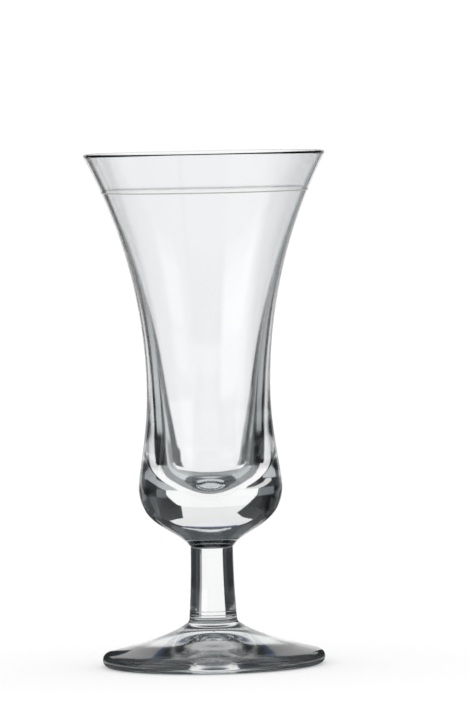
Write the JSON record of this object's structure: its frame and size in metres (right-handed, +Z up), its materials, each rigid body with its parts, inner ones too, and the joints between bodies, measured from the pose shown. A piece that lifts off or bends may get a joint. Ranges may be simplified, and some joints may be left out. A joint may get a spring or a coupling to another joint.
{
  "type": "cordial glass",
  "caption": "Small stemmed cordial glass: a flared bowl with a thick solid base, a short stem, a round foot and a fired measure line for serving liqueur.",
  "frame": {"origin": "middle of the foot's standing ring, on the surface that the glass stands on", "axes": "+Z up along the glass's axis of turning; X and Y are free, because the glass is round"},
  "size_m": [0.0516, 0.0516, 0.1095],
  "materials": {
    "bowl_glass": "fire-polished clear soda-lime glass",
    "stem_glass": "fire-polished clear soda-lime glass",
    "foot_glass": "pressed clear soda-lime glass, fire-polished",
    "line_enamel": "fired enamel, satin"
  },
  "bodies": {
    "root": {"bowl": "bowl_glass", "stem": "stem_glass", "foot": "foot_glass", "fill_line": "line_enamel"}
  },
  "joints": []
}
